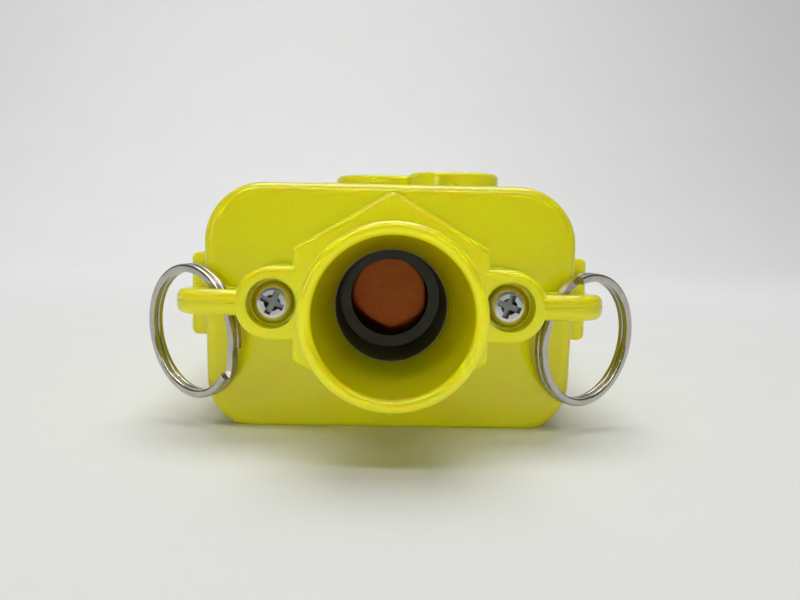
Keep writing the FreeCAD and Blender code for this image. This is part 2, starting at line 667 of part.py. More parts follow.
def stop_head():
    """The round head: a dish with a grip bar left across it, turning on the stem."""
    x, y = STOP_XY
    z_top = Z_RIM - STOP_BELOW_RIM
    head = upright(STOP_HEAD_R, x, y, Z_HEAD_UNDER, z_top)
    head = head.makeFillet(CAP_EDGE_R, edges_where(head, lambda b: flat_in(b, "Z", z_top)))
    dish = upright(STOP_DISH_R, x, y, z_top - STOP_DISH_DEPTH, z_top + OVERCUT)
    grip = box((x - STOP_GRIP / 2, x + STOP_GRIP / 2), (y - STOP_HEAD_R, y + STOP_HEAD_R),
               (z_top - STOP_DISH_DEPTH - OVERCUT, z_top + 2 * OVERCUT))
    socket = upright(STEM_R + STOP_SOCKET_GAP, x, y, Z_HEAD_UNDER - OVERCUT, Z_SOCKET_TOP)
    return head.cut([dish.cut(grip), socket]).removeSplitter()


# ---- mounting board and contact blocks ----
def contact_blocks():
    """Every contact block: its name, place, plan size, stem travel and whether it rests closed."""
    rows = [(name.replace("button", "contact_block"), xy, BLOCK_WIDTH, BLOCK_LENGTH, CAP_TRAVEL, False)
            for name, xy in small_buttons()]
    rows.append(("stop_contact_block", STOP_XY, STOP_BLOCK_WIDTH, STOP_BLOCK_LENGTH, STOP_TRAVEL, True))
    return rows


def bridge_z(travel):
    """Underside of a moving contact at rest, clear of the lower strips when it is pressed."""
    return Z_OPEN_STRIP + CONTACT_THICKNESS + CONTACT_GAP + travel


def strip_z(travel, closed_at_rest):
    """Underside of the fixed strips: just over a resting bridge, or under its pressed place."""
    if closed_at_rest:
        return bridge_z(travel) + CONTACT_THICKNESS + CONTACT_GAP / 2
    return Z_OPEN_STRIP


def peg_places(xy, length):
    """Where a block's two pegs enter the board."""
    reach = length / 2 - BLOCK_UNDERCUT - 2 * PEG_R
    return [(xy[0], xy[1] - reach), (xy[0], xy[1] + reach)]


def terminal_places(xy, length):
    """Where a block's two terminal screws stand."""
    reach = length / 2 - TERMINAL_INSET
    return [(xy[0], xy[1] - reach), (xy[0], xy[1] + reach)]


def strips(xy, length, travel, closed_at_rest):
    """The two fixed brass strips of one block, bent up to their terminal screws."""
    x, y = xy
    x_range = (x - CONTACT_HALF_WIDTH, x + CONTACT_HALF_WIDTH)
    z_low = strip_z(travel, closed_at_rest)
    z_pad = (Z_PAD, Z_PAD + CONTACT_THICKNESS)
    wall = length / 2 - BLOCK_UNDERCUT - BLOCK_WALL
    pieces = []
    for way in SIDES:
        inner = y + way * (STEM_R + 2 * STEM_GAP + STRIP_GAP)
        outer = y + way * wall
        bend = y + way * (wall - CONTACT_THICKNESS)
        tip = y + way * (length / 2 - BLOCK_WALL)
        foot = box(x_range, sorted((inner, outer)), (z_low, z_low + CONTACT_THICKNESS))
        riser = box(x_range, sorted((bend, outer)), (z_low, z_pad[1]))
        pad = box(x_range, sorted((bend, tip)), z_pad)
        pieces.append(fused([foot, riser, pad]))
    return pieces


def contact_block(xy, width, length, travel, closed_at_rest):
    """A brown block, wider at its terminals, with a window for the moving contact."""
    x, y = xy
    half = width / 2
    waist = length / 2 - BLOCK_UNDERCUT
    x_range = (x - half, x + half)
    base = box(x_range, (y - waist, y + waist), (Z_BLOCK, Z_BLOCK_WAIST))
    upper = box(x_range, (y - length / 2, y + length / 2), (Z_BLOCK_WAIST, Z_BLOCK_TOP))
    upper = upper.makeFillet(BLOCK_EDGE, edges_where(upper, lambda b: flat_in(b, "Z", Z_BLOCK_TOP)))
    pegs = [upright(PEG_R, px, py, Z_BOARD, Z_BLOCK) for px, py in peg_places(xy, length)]
    window = box((x - WINDOW_HALF_X, x + WINDOW_HALF_X),
                 (y - waist + BLOCK_WALL, y + waist - BLOCK_WALL), WINDOW_Z)
    cuts = [window, upright(STEM_R + STEM_GAP, x, y, WINDOW_Z[0], Z_BLOCK_TOP + OVERCUT)]
    cuts += strips(xy, length, travel, closed_at_rest)
    cuts += [upright(TERMINAL_R + TERMINAL_GAP, px, py, Z_SCREW_TIP - TERMINAL_GAP, Z_BLOCK_TOP + OVERCUT)
             for px, py in terminal_places(xy, length)]
    return fused([base, upper] + pegs).cut(cuts).removeSplitter()


def contact_strips():
    """All the fixed strips, drilled for their terminal screws."""
    pieces = []
    for _, xy, _, length, travel, closed in contact_blocks():
        holes = [upright(TERMINAL_R + TERMINAL_GAP, px, py, Z_BLOCK, Z_BLOCK_TOP)
                 for px, py in terminal_places(xy, length)]
        pieces += [strip.cut(holes) for strip in strips(xy, length, travel, closed)]
    return group(pieces)


def contact_bridge(xy, travel):
    """The moving brass bar on a button's stem."""
    x, y = xy
    z_low = bridge_z(travel)
    bar = box((x - WINDOW_HALF_X + RUN_GAP, x + WINDOW_HALF_X - RUN_GAP),
              (y - BRIDGE_HALF_LENGTH, y + BRIDGE_HALF_LENGTH), (z_low, z_low + CONTACT_THICKNESS))
    return bar.cut(upright(STEM_R, x, y, z_low, z_low + CONTACT_THICKNESS))


def terminal_screws():
    """The slotted screws on top of the blocks."""
    screws = []
    for _, xy, _, length, _, _ in contact_blocks():
        for x, y in terminal_places(xy, length):
            head = upright(TERMINAL_HEAD_R, x, y, Z_BLOCK_TOP, Z_BLOCK_TOP + TERMINAL_HEAD)
            shank = upright(TERMINAL_R, x, y, Z_SCREW_TIP, Z_BLOCK_TOP)
            slot = box((x - TERMINAL_HEAD_R, x + TERMINAL_HEAD_R),
                       (y - TERMINAL_SLOT / 2, y + TERMINAL_SLOT / 2),
                       (Z_BLOCK_TOP + TERMINAL_HEAD / 2, Z_BLOCK_TOP + 2 * TERMINAL_HEAD))
            screws.append(fused([head, shank]).cut(slot))
    return group(screws)


def mounting_board():
    """The board under the contact blocks, notched round the screw columns."""
    z_range = (Z_BOARD, Z_BLOCK)
    board = plate(BOARD_HALF_WIDTH, BOARD_Y, BOARD_CORNER_R, z_range)
    holes = [upright(COLUMN_R + RUN_GAP, x, y, *z_range) for x, y in both_sides(COVER_SCREW_XY)]
    holes += [upright(SCREW_CLEARANCE_R, x, y, *z_range) for x, y in POST_XY]
    for _, xy, _, length, _, _ in contact_blocks():
        holes += [upright(PEG_R + PEG_GAP, x, y, *z_range) for x, y in peg_places(xy, length)]
    return board.cut(holes).removeSplitter()


# ---- springs ----
def coil_spring(xy, radius, wire_r, turns, z_low, z_high):
    """A compression spring between two heights, its wire drawn with flats."""
    rise = z_high - z_low - 2 * wire_r
    helix = Part.makeHelix(rise / turns, rise, radius)
    angles = [2 * math.pi * (side + 0.5) / WIRE_FLATS for side in range(WIRE_FLATS)]
    rim = [Vector(radius + wire_r * math.cos(a), 0, wire_r * math.sin(a)) for a in angles]
    spring = Part.Wire(helix).makePipeShell([Part.makePolygon(rim + rim[:1])], True, True)
    spring.translate(Vector(xy[0], xy[1], z_low + wire_r))
    return spring


def button_spring(xy):
    """The spring under a small button."""
    return coil_spring(xy, SPRING_R, SPRING_WIRE_R, SPRING_TURNS, Z_BLOCK_TOP, Z_FLANGE_TOP - CAP_FLANGE)


def stop_spring():
    """The spring under the stop button."""
    return coil_spring(STOP_XY, STOP_SPRING_R, STOP_SPRING_WIRE_R, STOP_SPRING_TURNS,
                       Z_BLOCK_TOP, Z_FLANGE_TOP - STOP_FLANGE)


def all_nodes():
    """Every node's name and shape."""
    nodes = {
        "housing": housing(),
        "back_cover": back_cover(),
        "cover_seal": cover_seal(),
        "cover_screws": cover_screws(),
        "cable_collar": cable_collar(),
        "collar_seal": collar_seal(),
        "collar_screws": collar_screws(),
        "cable_bushing": cable_bushing(),
        "split_ring_left": split_ring(-1, LEFT_RING_REACH, LEFT_RING_DROP, LEFT_RING_YAW_DEG, LEFT_CUT_DEG),
        "split_ring_right": split_ring(1, RIGHT_RING_REACH, RIGHT_RING_DROP, RIGHT_RING_YAW_DEG, RIGHT_CUT_DEG),
        "mounting_board": mounting_board(),
        "board_screws": board_screws(),
        "contact_strips": contact_strips(),
        "terminal_screws": terminal_screws(),
        "button_seals": button_seals(),
        "stop_head": stop_head(),
        "stop_stem": stop_stem(),
        "stop_spring": stop_spring(),
    }
    for name, xy, width, length, travel, closed in contact_blocks():
        nodes[name] = contact_block(xy, width, length, travel, closed)
        nodes[name.replace("block", "bridge")] = contact_bridge(xy, travel)
    for name, xy in small_buttons():
        nodes[name] = button_cap(name, xy)
        nodes[name.replace("button", "spring")] = button_spring(xy)
    return nodes


def main():
    """Write every node as a STEP file and print what it holds."""
    os.makedirs("parts", exist_ok=True)
    for name, shape in all_nodes().items():
        shape.exportStep("parts/" + name + ".step")
        solids = shape.Solids
        state = "valid" if shape.isValid() and all(s.Volume > 0 for s in solids) else "FAULTY"
        print(f"{name:28s} {len(solids):3d} solids {shape.Volume:10.1f} mm3 {state}")


main()
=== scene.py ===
import json
import math

import bmesh
import bpy
from mathutils import Matrix, Vector


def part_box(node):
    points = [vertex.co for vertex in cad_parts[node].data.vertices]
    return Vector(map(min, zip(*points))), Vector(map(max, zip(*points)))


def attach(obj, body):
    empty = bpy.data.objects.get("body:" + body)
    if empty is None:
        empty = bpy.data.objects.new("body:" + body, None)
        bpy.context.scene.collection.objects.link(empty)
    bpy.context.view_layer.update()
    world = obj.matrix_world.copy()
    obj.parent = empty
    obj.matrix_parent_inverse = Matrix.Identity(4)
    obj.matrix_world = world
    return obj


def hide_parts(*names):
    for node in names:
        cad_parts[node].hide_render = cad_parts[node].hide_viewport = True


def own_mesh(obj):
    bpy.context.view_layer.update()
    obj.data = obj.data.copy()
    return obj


bl_info = {
    "name": "Hoist Pendant Looks",
    "version": (1, 0, 0),
    "blender": (4, 5, 0),
    "location": "3D View > Sidebar > Pendant",
    "description": "Finishes, symbol inlays, camera and studio for a hoist pendant control station",
    "category": "Object",
}

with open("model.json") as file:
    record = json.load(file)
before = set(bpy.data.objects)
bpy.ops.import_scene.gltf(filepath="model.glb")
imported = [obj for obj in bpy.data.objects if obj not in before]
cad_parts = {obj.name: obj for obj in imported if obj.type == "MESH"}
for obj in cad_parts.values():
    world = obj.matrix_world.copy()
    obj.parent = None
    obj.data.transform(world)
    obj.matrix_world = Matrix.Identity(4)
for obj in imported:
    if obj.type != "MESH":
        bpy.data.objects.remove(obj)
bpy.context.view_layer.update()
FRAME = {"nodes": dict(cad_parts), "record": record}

MM = 0.001
BEHAVIOUR = FRAME["record"]["behaviour"]
BODY_OF_NODE = {node: body for body, nodes in BEHAVIOUR["bodies"].items() for node in nodes}
NODES = sorted(FRAME["nodes"])

# Screws: where their axes pass, the level of their crowns, and the size of their cross recesses.
COLLAR_MIDDLE_Z = 24.1 * MM
COLLAR_SCREW_X = 20.75 * MM
COLLAR_SCREW_AXES = [(side * COLLAR_SCREW_X, 0, COLLAR_MIDDLE_Z) for side in (-1, 1)]
COLLAR_SCREW_CROWN = -92.0 * MM
COVER_SCREW_PLACES_MM = ((17.0, -66.5), (18.5, -10.0), (17.0, 70.0))
COVER_SCREW_AXES = [(side * x * MM, y * MM, 0) for side in (-1, 1) for x, y in COVER_SCREW_PLACES_MM]
COVER_SCREW_CROWN = 0.0
RECESS_RADIUS = 2.25 * MM
RECESS_EDGE = 0.08 * MM
# Painted shade in the cross recesses: how deep below the crown it starts and where it is full.
RECESS_SHADE_START = 0.20 * MM
RECESS_SHADE_FULL = 0.45 * MM

# The bush's bore: the lip that grips the cable, and where the wall in front of it starts, which is painted
# lighter as painted light.
BORE_LIP_Y = -73.2 * MM
BORE_WALL_Y = -74.6 * MM

# The eye tabs at the collar's sides, and the line that the mould left round them.
TAB_DEPTH = 12.0 * MM
TAB_END_X = 37.9 * MM
TAB_FRONT_Y = -94.0 * MM
EAR_EDGE_X = 26.7 * MM
LINE_HEIGHT = 0.09 * MM
LINE_HALF_WIDTH = 0.17 * MM
LINE_ROOT = 0.10 * MM
LINE_SIDES = 6
LINE_STEPS = 28
LINE_SWEEP_DEG = 165.0

# The symbols sunk into the button faces.
LEVEL_NORMAL = 0.999
FLOOR_TOLERANCE = 0.02 * MM
SAME_POINT = 0.002 * MM
FLAT_ANGLE = 0.01
EASED_SHARE = 0.25
EASED_STEPS = 2

# Noises: the size of their features, their detail, and how they are drawn out and turned.
FLOW_NOISE = {"size": 30 * MM, "detail": 3.0}
SPECK_NOISE = {"size": 0.7 * MM, "detail": 1.0}
DUST_NOISE = {"size": 6 * MM, "detail": 5.0}
GLOSS_NOISE = {"size": 4 * MM, "detail": 4.0}
LOW_SHADE_NOISE = {"size": 9 * MM, "detail": 2.0}
BLOOM_NOISE = {"size": 3 * MM, "detail": 4.0}
LINT_NOISE = {"size": 0.35 * MM, "detail": 2.0}
RUBBER_GRAIN_NOISE = {"size": 0.25 * MM, "detail": 3.0}
RESIN_NOISE = {"size": 2.2 * MM, "detail": 5.0, "roughness": 0.6}
FIBRE_NOISE = {"size": 1.1 * MM, "detail": 1.0, "stretch": (1, 5, 2), "turn": (0.5, 0.2, 0.7)}
TARNISH_NOISE = {"size": 2.5 * MM, "detail": 4.0}
DRAWN_NOISE = {"size": 0.5 * MM, "detail": 2.0, "stretch": (1, 1, 9), "turn": (0.2, 0.1, 0.0)}
SHEET_NOISE = {"size": 60 * MM, "detail": 3.0}
SCRATCH_STRETCH = (1, 46, 1)
SCRATCH_PATCH_RATIO = 2.3
LONG_SCRATCHES = {"length": 14 * MM, "turn": (0.3, 0.5, 0.4)}
SHORT_SCRATCHES = {"length": 9 * MM, "turn": (1.1, 0.2, -0.9)}

# Parts of a noise's range: where a mark starts to show and where it shows fully.
MOTTLE_CUT = (0.3, 0.7)
SPECK_CUT = (0.78, 0.82)
DUST_CUT = (0.45, 0.75)
DUST_SLOPE = (0.6, 1.0)
SCRATCH_CUT = (0.705, 0.735)
SCRATCH_PATCH_CUT = (0.48, 0.60)
LOW_SHADE_CUT = (0.2, 0.6)
BLOOM_CUT = (0.35, 0.70)
LINT_CUT = (0.72, 0.78)
FIBRE_CUT = (0.64, 0.70)
TARNISH_CUT = (0.35, 0.72)
DRAWN_CUT = (0.35, 0.75)

# Colours of dust and other marks and of painted shade and light, and how strongly each covers the clean
# colour.
DUST_COLOUR = (0.62, 0.60, 0.52, 1)
DUST_COVER = 0.08
SPECK_COVER = 0.35
SPECK_SHADE = 0.45
# Painted shade on the yellow mouldings, darker towards the bottom: the height where it ends, its colour, its
# strength and its thinnest patches.
LOW_SHADE_TOP = 20 * MM
LOW_SHADE_COLOUR = (0.40, 0.33, 0.02, 1)
LOW_SHADE_COVER = 0.30
LOW_SHADE_THINNEST = 0.6
BLOOM_COLOUR = (0.095, 0.09, 0.075, 1)
LINT_COLOUR = (0.24, 0.22, 0.18, 1)
LINT_COVER = 0.25
# Painted light on the bush's bore wall: its lighter colour and how strongly it covers.
BORE_PAINTED_LIGHT_COLOUR = (0.135, 0.132, 0.097, 1)
BORE_PAINTED_LIGHT_COVER = 0.95
# Painted shade in the screws' cross recesses: its dark colour and how strongly it covers.
RECESS_SHADE_COLOUR = (0.070, 0.085, 0.066, 1)
RECESS_SHADE_COVER = 0.68
RESIN_SHADES = (0.88, 1.10)
FIBRE_SHADE = 2.2
FIBRE_COVER = 0.15
TARNISH_SHADE = 0.55

# Roughness added by marks, and depths of the bumps.
GLOSS_BELOW = 0.02
GLOSS_ABOVE = 0.04
SCRATCH_ROUGHNESS = 0.16
DUST_ROUGHNESS = 0.12
SCRATCH_DEPTH_SHARE = 0.5
PEEL_DEPTH = 0.008 * MM
RUBBER_ROUGHNESS = (0.62, 0.82)
RUBBER_DEPTH = 0.02 * MM
RESIN_ROUGHNESS = (0.55, 0.70)
RESIN_DEPTH = 0.02 * MM
RESIN_SPECULAR = 0.25
TARNISH_BELOW = 0.04
TARNISH_ABOVE = 0.10
DRAWN_ROUGHNESS = (-0.03, 0.07)
DRAWN_DEPTH = 0.004 * MM

# The moulded plastic, and the yellow one's glow.
PLASTIC_IOR = 1.54
YELLOW_GRAIN = 0.9 * MM
YELLOW_FLOW = 0.03
COLLAR_GLOSS_STEP = -0.03
GLOW_RADIUS = (1.0, 0.6, 0.05)
GLOW_SCALE = 3.2 * MM

# The backdrop: a floor that curves up into a wall, in metres.
FLOOR_FRONT_Y = -1.6
BEND_START_Y = 0.55
BEND_RADIUS = 0.60
BEND_STEPS = 24
WALL_TOP_Z = 1.9
SHEET_HALF_WIDTH = 1.9
FLOOR_GAP = 0.05 * MM
SHEET_SHADE = 0.985
SHEET_ROUGHNESS = 0.55
SHEET_SPECULAR = 0.2

# Lights: the centre, the point aimed at, the width and height in metres, and the spread in degrees.
LIGHTS = {
    "Key": ((-0.08, -0.72, 1.10), (0, -0.08, 0.04), (1.50, 0.22), 180),
    "Overhead": ((0.0, 0.25, 1.15), (0, 0.1, 0), (0.85, 0.85), 180),
    "Side": ((-1.25, -1.22, 0.33), (0, -0.08, 0.03), (0.13, 0.42), 40),
    "Front": ((-0.015, -0.90, 0.050), (0, -0.08, 0.022), (0.05, 0.03), 13),
    "Wall": ((-0.30, 0.50, 0.60), (-0.20, 1.15, 0.12), (1.0, 0.3), 180),
}
HIDDEN_IN_GLOSS = ("Front",)
LIGHT_TINT = (1.0, 1.02, 1.0)
SURROUND_COLOUR = (1.0, 1.0, 1.0, 1)
SURROUND_STRENGTH = 0.16

SENSOR_WIDTH_MM = 36
CLIP_START = 0.005

# The colour sockets of Blender's mixing node, whose names aren't unique.
MIX_COLOUR_A = 6
MIX_COLOUR_B = 7
MIX_COLOUR_OUT = 2


# ---- settings that a user would change ----

class PlasticSettings(bpy.types.PropertyGroup):
    """Colours and gloss of the moulded pieces."""

    yellow: bpy.props.FloatVectorProperty(
        name="Yellow", description="Colour of the housing and the cable collar",
        subtype="COLOR", size=3, min=0, max=1, default=(0.74, 0.708, 0.002))
    stop_red: bpy.props.FloatVectorProperty(
        name="Stop Red", description="Colour of the stop head",
        subtype="COLOR", size=3, min=0, max=1, default=(0.48, 0.012, 0.010))
    start_green: bpy.props.FloatVectorProperty(
        name="Start Green", description="Colour of the start button",
        subtype="COLOR", size=3, min=0, max=1, default=(0.006, 0.165, 0.030))
    cap_black: bpy.props.FloatVectorProperty(
        name="Cap Black", description="Colour of the arrow buttons",
        subtype="COLOR", size=3, min=0, max=1, default=(0.012, 0.012, 0.013))
    symbol_white: bpy.props.FloatVectorProperty(
        name="Symbol White", description="Colour of the filled symbols",
        subtype="COLOR", size=3, min=0, max=1, default=(0.78, 0.78, 0.74))
    gloss: bpy.props.FloatProperty(
        name="Gloss", description="Roughness of the moulded yellow surface, lower is shinier",
        subtype="FACTOR", min=0, max=1, default=0.13)
    stem_white: bpy.props.FloatVectorProperty(
        name="Stem White", description="Colour of the stop button's stem",
        subtype="COLOR", size=3, min=0, max=1, default=(0.55, 0.54, 0.49))
    phenolic: bpy.props.FloatVectorProperty(
        name="Phenolic Brown", description="Colour of the contact blocks and their board",
        subtype="COLOR", size=3, min=0, max=1, default=(0.37, 0.098, 0.020))


class RubberSettings(bpy.types.PropertyGroup):
    """Colours of the rubber pieces."""

    seal: bpy.props.FloatVectorProperty(
        name="Seal Black", description="Colour of the flat seals and the button seals",
        subtype="COLOR", size=3, min=0, max=1, default=(0.018, 0.018, 0.018))
    bush: bpy.props.FloatVectorProperty(
        name="Bush Black", description="Colour of the cable bush",
        subtype="COLOR", size=3, min=0, max=1, default=(0.042, 0.041, 0.030))


class MetalSettings(bpy.types.PropertyGroup):
    """Colours and finish of the metal pieces."""

    nickel: bpy.props.FloatVectorProperty(
        name="Nickel", description="Colour of the split rings",
        subtype="COLOR", size=3, min=0, max=1, default=(0.56, 0.53, 0.48))
    zinc: bpy.props.FloatVectorProperty(
        name="Zinc", description="Colour of the screws",
        subtype="COLOR", size=3, min=0, max=1, default=(0.74, 0.74, 0.72))
    brass: bpy.props.FloatVectorProperty(
        name="Brass", description="Colour of the contact strips and bridges",
        subtype="COLOR", size=3, min=0, max=1, default=(0.62, 0.42, 0.15))
    spring: bpy.props.FloatVectorProperty(
        name="Spring Wire", description="Colour of the return springs",
        subtype="COLOR", size=3, min=0, max=1, default=(0.42, 0.42, 0.41))


class SymbolSettings(bpy.types.PropertyGroup):
    """The filled symbols in the button faces."""

    fill: bpy.props.FloatProperty(
        name="Fill Height", description="How far the white filling rises from the floor of a symbol",
        subtype="DISTANCE", unit="LENGTH", min=0, default=0.28 * MM)
    gap: bpy.props.FloatProperty(
        name="Edge Gap", description="How far the filling stays inside the symbol's edge",
        subtype="DISTANCE", unit="LENGTH", min=0, default=0.06 * MM)


class StageSettings(bpy.types.PropertyGroup):
    """Camera, lights and backdrop."""

    distance: bpy.props.FloatProperty(
        name="Camera Distance", description="From the camera to the housing's end face",
        subtype="DISTANCE", unit="LENGTH", min=0.05, default=0.175)
    height: bpy.props.FloatProperty(
        name="Camera Height", description="Above the surface that the station lies on",
        subtype="DISTANCE", unit="LENGTH", default=0.0371)
    aside: bpy.props.FloatProperty(
        name="Camera Aside", description="Sideways from the middle of the housing",
        subtype="DISTANCE", unit="LENGTH", default=-0.00243)
    yaw: bpy.props.FloatProperty(
        name="Camera Yaw", description="Turn to the right of the housing's length",
        subtype="ANGLE", unit="ROTATION", default=math.radians(1.40))
    pitch: bpy.props.FloatProperty(
        name="Camera Pitch", description="Tilt downwards",
        subtype="ANGLE", unit="ROTATION", default=math.radians(4.25))
    roll: bpy.props.FloatProperty(
        name="Camera Roll", description="Turn about the line of sight",
        subtype="ANGLE", unit="ROTATION", default=math.radians(1.1))
    focal_length: bpy.props.FloatProperty(
        name="Focal Length", description="Lens of the camera in millimetres",
        subtype="DISTANCE_CAMERA", unit="CAMERA", min=10, default=42.1)
    backdrop: bpy.props.FloatVectorProperty(
        name="Backdrop", description="Colour of the floor and the backdrop",
        subtype="COLOR", size=3, min=0, max=1, default=(0.88, 0.875, 0.875))
    key_power: bpy.props.FloatProperty(
        name="Key Power", description="Power of the long softbox above and in front, in watts",
        subtype="POWER", unit="POWER", min=0, default=4.6)
    overhead_power: bpy.props.FloatProperty(
        name="Overhead Power", description="Power of the wide light overhead, in watts",
        subtype="POWER", unit="POWER", min=0, default=7.6)
    side_power: bpy.props.FloatProperty(
        name="Side Power", description="Power of the narrow upright light at the left, in watts",
        subtype="POWER", unit="POWER", min=0, default=0.08)
    front_power: bpy.props.FloatProperty(
        name="Front Power", description="Power of the small narrow beam behind the camera, in watts",
        subtype="POWER", unit="POWER", min=0, default=0.013)
    wall_power: bpy.props.FloatProperty(
        name="Wall Power", description="Power of the light on the backdrop, in watts",
        subtype="POWER", unit="POWER", min=0, default=1.1)


# ---- building material node trees ----

def feed(tree, socket, value):
    """Gives an input a plain value, or links it to another node's output socket."""
    if isinstance(value, bpy.types.NodeSocket):
        tree.links.new(value, socket)
    else:
        socket.default_value = value


def add_node(tree, kind, inputs=None, **settings):
    """Adds a node, sets its settings and feeds its inputs."""
    node = tree.nodes.new(kind)
    for key, value in settings.items():
        setattr(node, key, value)
    for key, value in (inputs or {}).items():
        feed(tree, node.inputs[key], value)
    return node


def new_finish(name):
    """An empty material with its shader; returns the material, its tree and the shader."""
    material = bpy.data.materials.new(name)
    material.use_nodes = True
    tree = material.node_tree
    return material, tree, tree.nodes["Principled BSDF"]


def place(tree, stretch=(1, 1, 1), turn=(0, 0, 0)):
    """Coordinates of the piece in metres, stretched and turned."""
    coordinates = add_node(tree, "ShaderNodeTexCoord")
    mapping = add_node(tree, "ShaderNodeMapping", {"Vector": coordinates.outputs["Object"]})
    mapping.inputs["Scale"].default_value = stretch
    mapping.inputs["Rotation"].default_value = turn
    return mapping.outputs["Vector"]


def noise(tree, size, detail=2.0, roughness=0.5, stretch=(1, 1, 1), turn=(0, 0, 0)):
    """A grey noise whose features are about size metres across."""
    node = add_node(tree, "ShaderNodeTexNoise",
                    {"Vector": place(tree, stretch, turn), "Scale": 1 / size, "Detail": detail,
                     "Roughness": roughness})
    return node.outputs["Fac"]


def remap(tree, value, low, high, to_low=0.0, to_high=1.0):
    """Stretches a value from one range to another and clamps it."""
    node = add_node(tree, "ShaderNodeMapRange",
                    {"Value": value, "From Min": low, "From Max": high, "To Min": to_low, "To Max": to_high})
    return node.outputs["Result"]


def combine(tree, operation, first, second):
    """One arithmetic step on two values."""
    node = add_node(tree, "ShaderNodeMath", operation=operation)
    for socket, value in zip(node.inputs, (first, second)):
        feed(tree, socket, value)
    return node.outputs["Value"]


def blend_colours(tree, factor, first, second):
    """A mix of two colours; each is a plain colour or a socket."""
    node = add_node(tree, "ShaderNodeMix", data_type="RGBA")
    for key, value in (("Factor", factor), (MIX_COLOUR_A, first), (MIX_COLOUR_B, second)):
        feed(tree, node.inputs[key], value)
    return node.outputs[MIX_COLOUR_OUT]


def rgba(colour, strength=1.0):
    """A colour as four numbers, brightened or darkened."""
    return tuple(min(1.0, part * strength) for part in colour) + (1.0,)


def scratches(tree, length, turn):
    """Fine straight scratches along one direction, as a value from 0 to 1."""
    lines = noise(tree, length, detail=1.0, stretch=SCRATCH_STRETCH, turn=turn)
    patches = noise(tree, length * SCRATCH_PATCH_RATIO, detail=0.0, turn=turn)
    thin = remap(tree, lines, *SCRATCH_CUT)
    return combine(tree, "MULTIPLY", thin, remap(tree, patches, *SCRATCH_PATCH_CUT))


def bump(tree, shader, height, depth):
    """Feeds a height, in units of depth metres, to the shader's normal."""
    node = add_node(tree, "ShaderNodeBump", {"Height": height, "Distance": depth, "Strength": 1.0})
    tree.links.new(node.outputs["Normal"], shader.inputs["Normal"])


def upward(tree, low, high):
    """How much the surface faces up, for settled dust: 0 where its normal's z is low, 1 where it is high."""
    geometry = add_node(tree, "ShaderNodeNewGeometry")
    split = add_node(tree, "ShaderNodeSeparateXYZ", {"Vector": geometry.outputs["Normal"]})
    return remap(tree, split.outputs["Z"], low, high)


def between(tree, axis, low, high):
    """A value that rises from 0 to 1 between two places along an axis of the piece, in metres."""
    coordinates = add_node(tree, "ShaderNodeTexCoord")
    split = add_node(tree, "ShaderNodeSeparateXYZ", {"Vector": coordinates.outputs["Object"]})
    return remap(tree, split.outputs[axis], low, high)


def near_axes(tree, spots, keep, reach):
    """1 within reach metres of any axis through the spots, 0 outside. keep is 0 along the axes, 1 across."""
    coordinates = add_node(tree, "ShaderNodeTexCoord")
    flat = add_node(tree, "ShaderNodeVectorMath", operation="MULTIPLY")
    tree.links.new(coordinates.outputs["Object"], flat.inputs[0])
    flat.inputs[1].default_value = keep
    nearest = None
    for spot in spots:
        gap = add_node(tree, "ShaderNodeVectorMath", operation="DISTANCE")
        tree.links.new(flat.outputs[0], gap.inputs[0])
        gap.inputs[1].default_value = spot
        distance = gap.outputs["Value"]
        nearest = distance if nearest is None else combine(tree, "MINIMUM", nearest, distance)
    return remap(tree, nearest, reach, reach + RECESS_EDGE, 1.0, 0.0)


def assign(nodes, material):
    """Gives CAD nodes a finish in place of the plain one."""
    for name in nodes:
        slots = FRAME["nodes"][name].material_slots
        if not slots:
            raise RuntimeError(f"{name} has no material slot")
        for slot in slots:
            slot.material = material


def nodes_ending(ending):
    """CAD nodes whose names end in a word."""
    return [name for name in NODES if name.endswith(ending)]


# ---- finishes ----

def moulded_finish(name, colour, roughness, grain=0.5 * MM, flow=0.06):
    """Injection-moulded plastic: faint flow tone, orange peel, handling scratches and a little dust."""
    material, tree, shader = new_finish(name)
    tone = remap(tree, noise(tree, **FLOW_NOISE), *MOTTLE_CUT)
    base = blend_colours(tree, tone, rgba(colour, 1.0 - flow), rgba(colour, 1.0 + flow))
    specks = combine(tree, "MULTIPLY", remap(tree, noise(tree, **SPECK_NOISE), *SPECK_CUT), SPECK_COVER)
    base = blend_colours(tree, specks, base, rgba(colour, SPECK_SHADE))
    patches = remap(tree, noise(tree, **DUST_NOISE), *DUST_CUT)
    dust = combine(tree, "MULTIPLY", upward(tree, *DUST_SLOPE), patches)
    base = blend_colours(tree, combine(tree, "MULTIPLY", dust, DUST_COVER), base, DUST_COLOUR)
    tree.links.new(base, shader.inputs["Base Color"])
    marks = combine(tree, "MAXIMUM", scratches(tree, **LONG_SCRATCHES), scratches(tree, **SHORT_SCRATCHES))
    rough = remap(tree, noise(tree, **GLOSS_NOISE), *MOTTLE_CUT,
                  roughness - GLOSS_BELOW, roughness + GLOSS_ABOVE)
    rough = combine(tree, "ADD", rough, combine(tree, "MULTIPLY", marks, SCRATCH_ROUGHNESS))
    rough = combine(tree, "ADD", rough, combine(tree, "MULTIPLY", dust, DUST_ROUGHNESS))
    tree.links.new(rough, shader.inputs["Roughness"])
    cuts = combine(tree, "MULTIPLY", marks, SCRATCH_DEPTH_SHARE)
    bump(tree, shader, combine(tree, "SUBTRACT", noise(tree, grain, detail=2.0), cuts), PEEL_DEPTH)
    shader.inputs["IOR"].default_value = PLASTIC_IOR
    return material


def cover_colour(material, factor, colour):
    """Lays a colour over a finish's present one, as far as factor, a function of the tree, says."""
    tree = material.node_tree
    shader = tree.nodes["Principled BSDF"]
    clean = shader.inputs["Base Color"].links[0].from_socket
    covered = blend_colours(tree, factor(tree), clean, colour)
    tree.links.new(covered, shader.inputs["Base Color"])


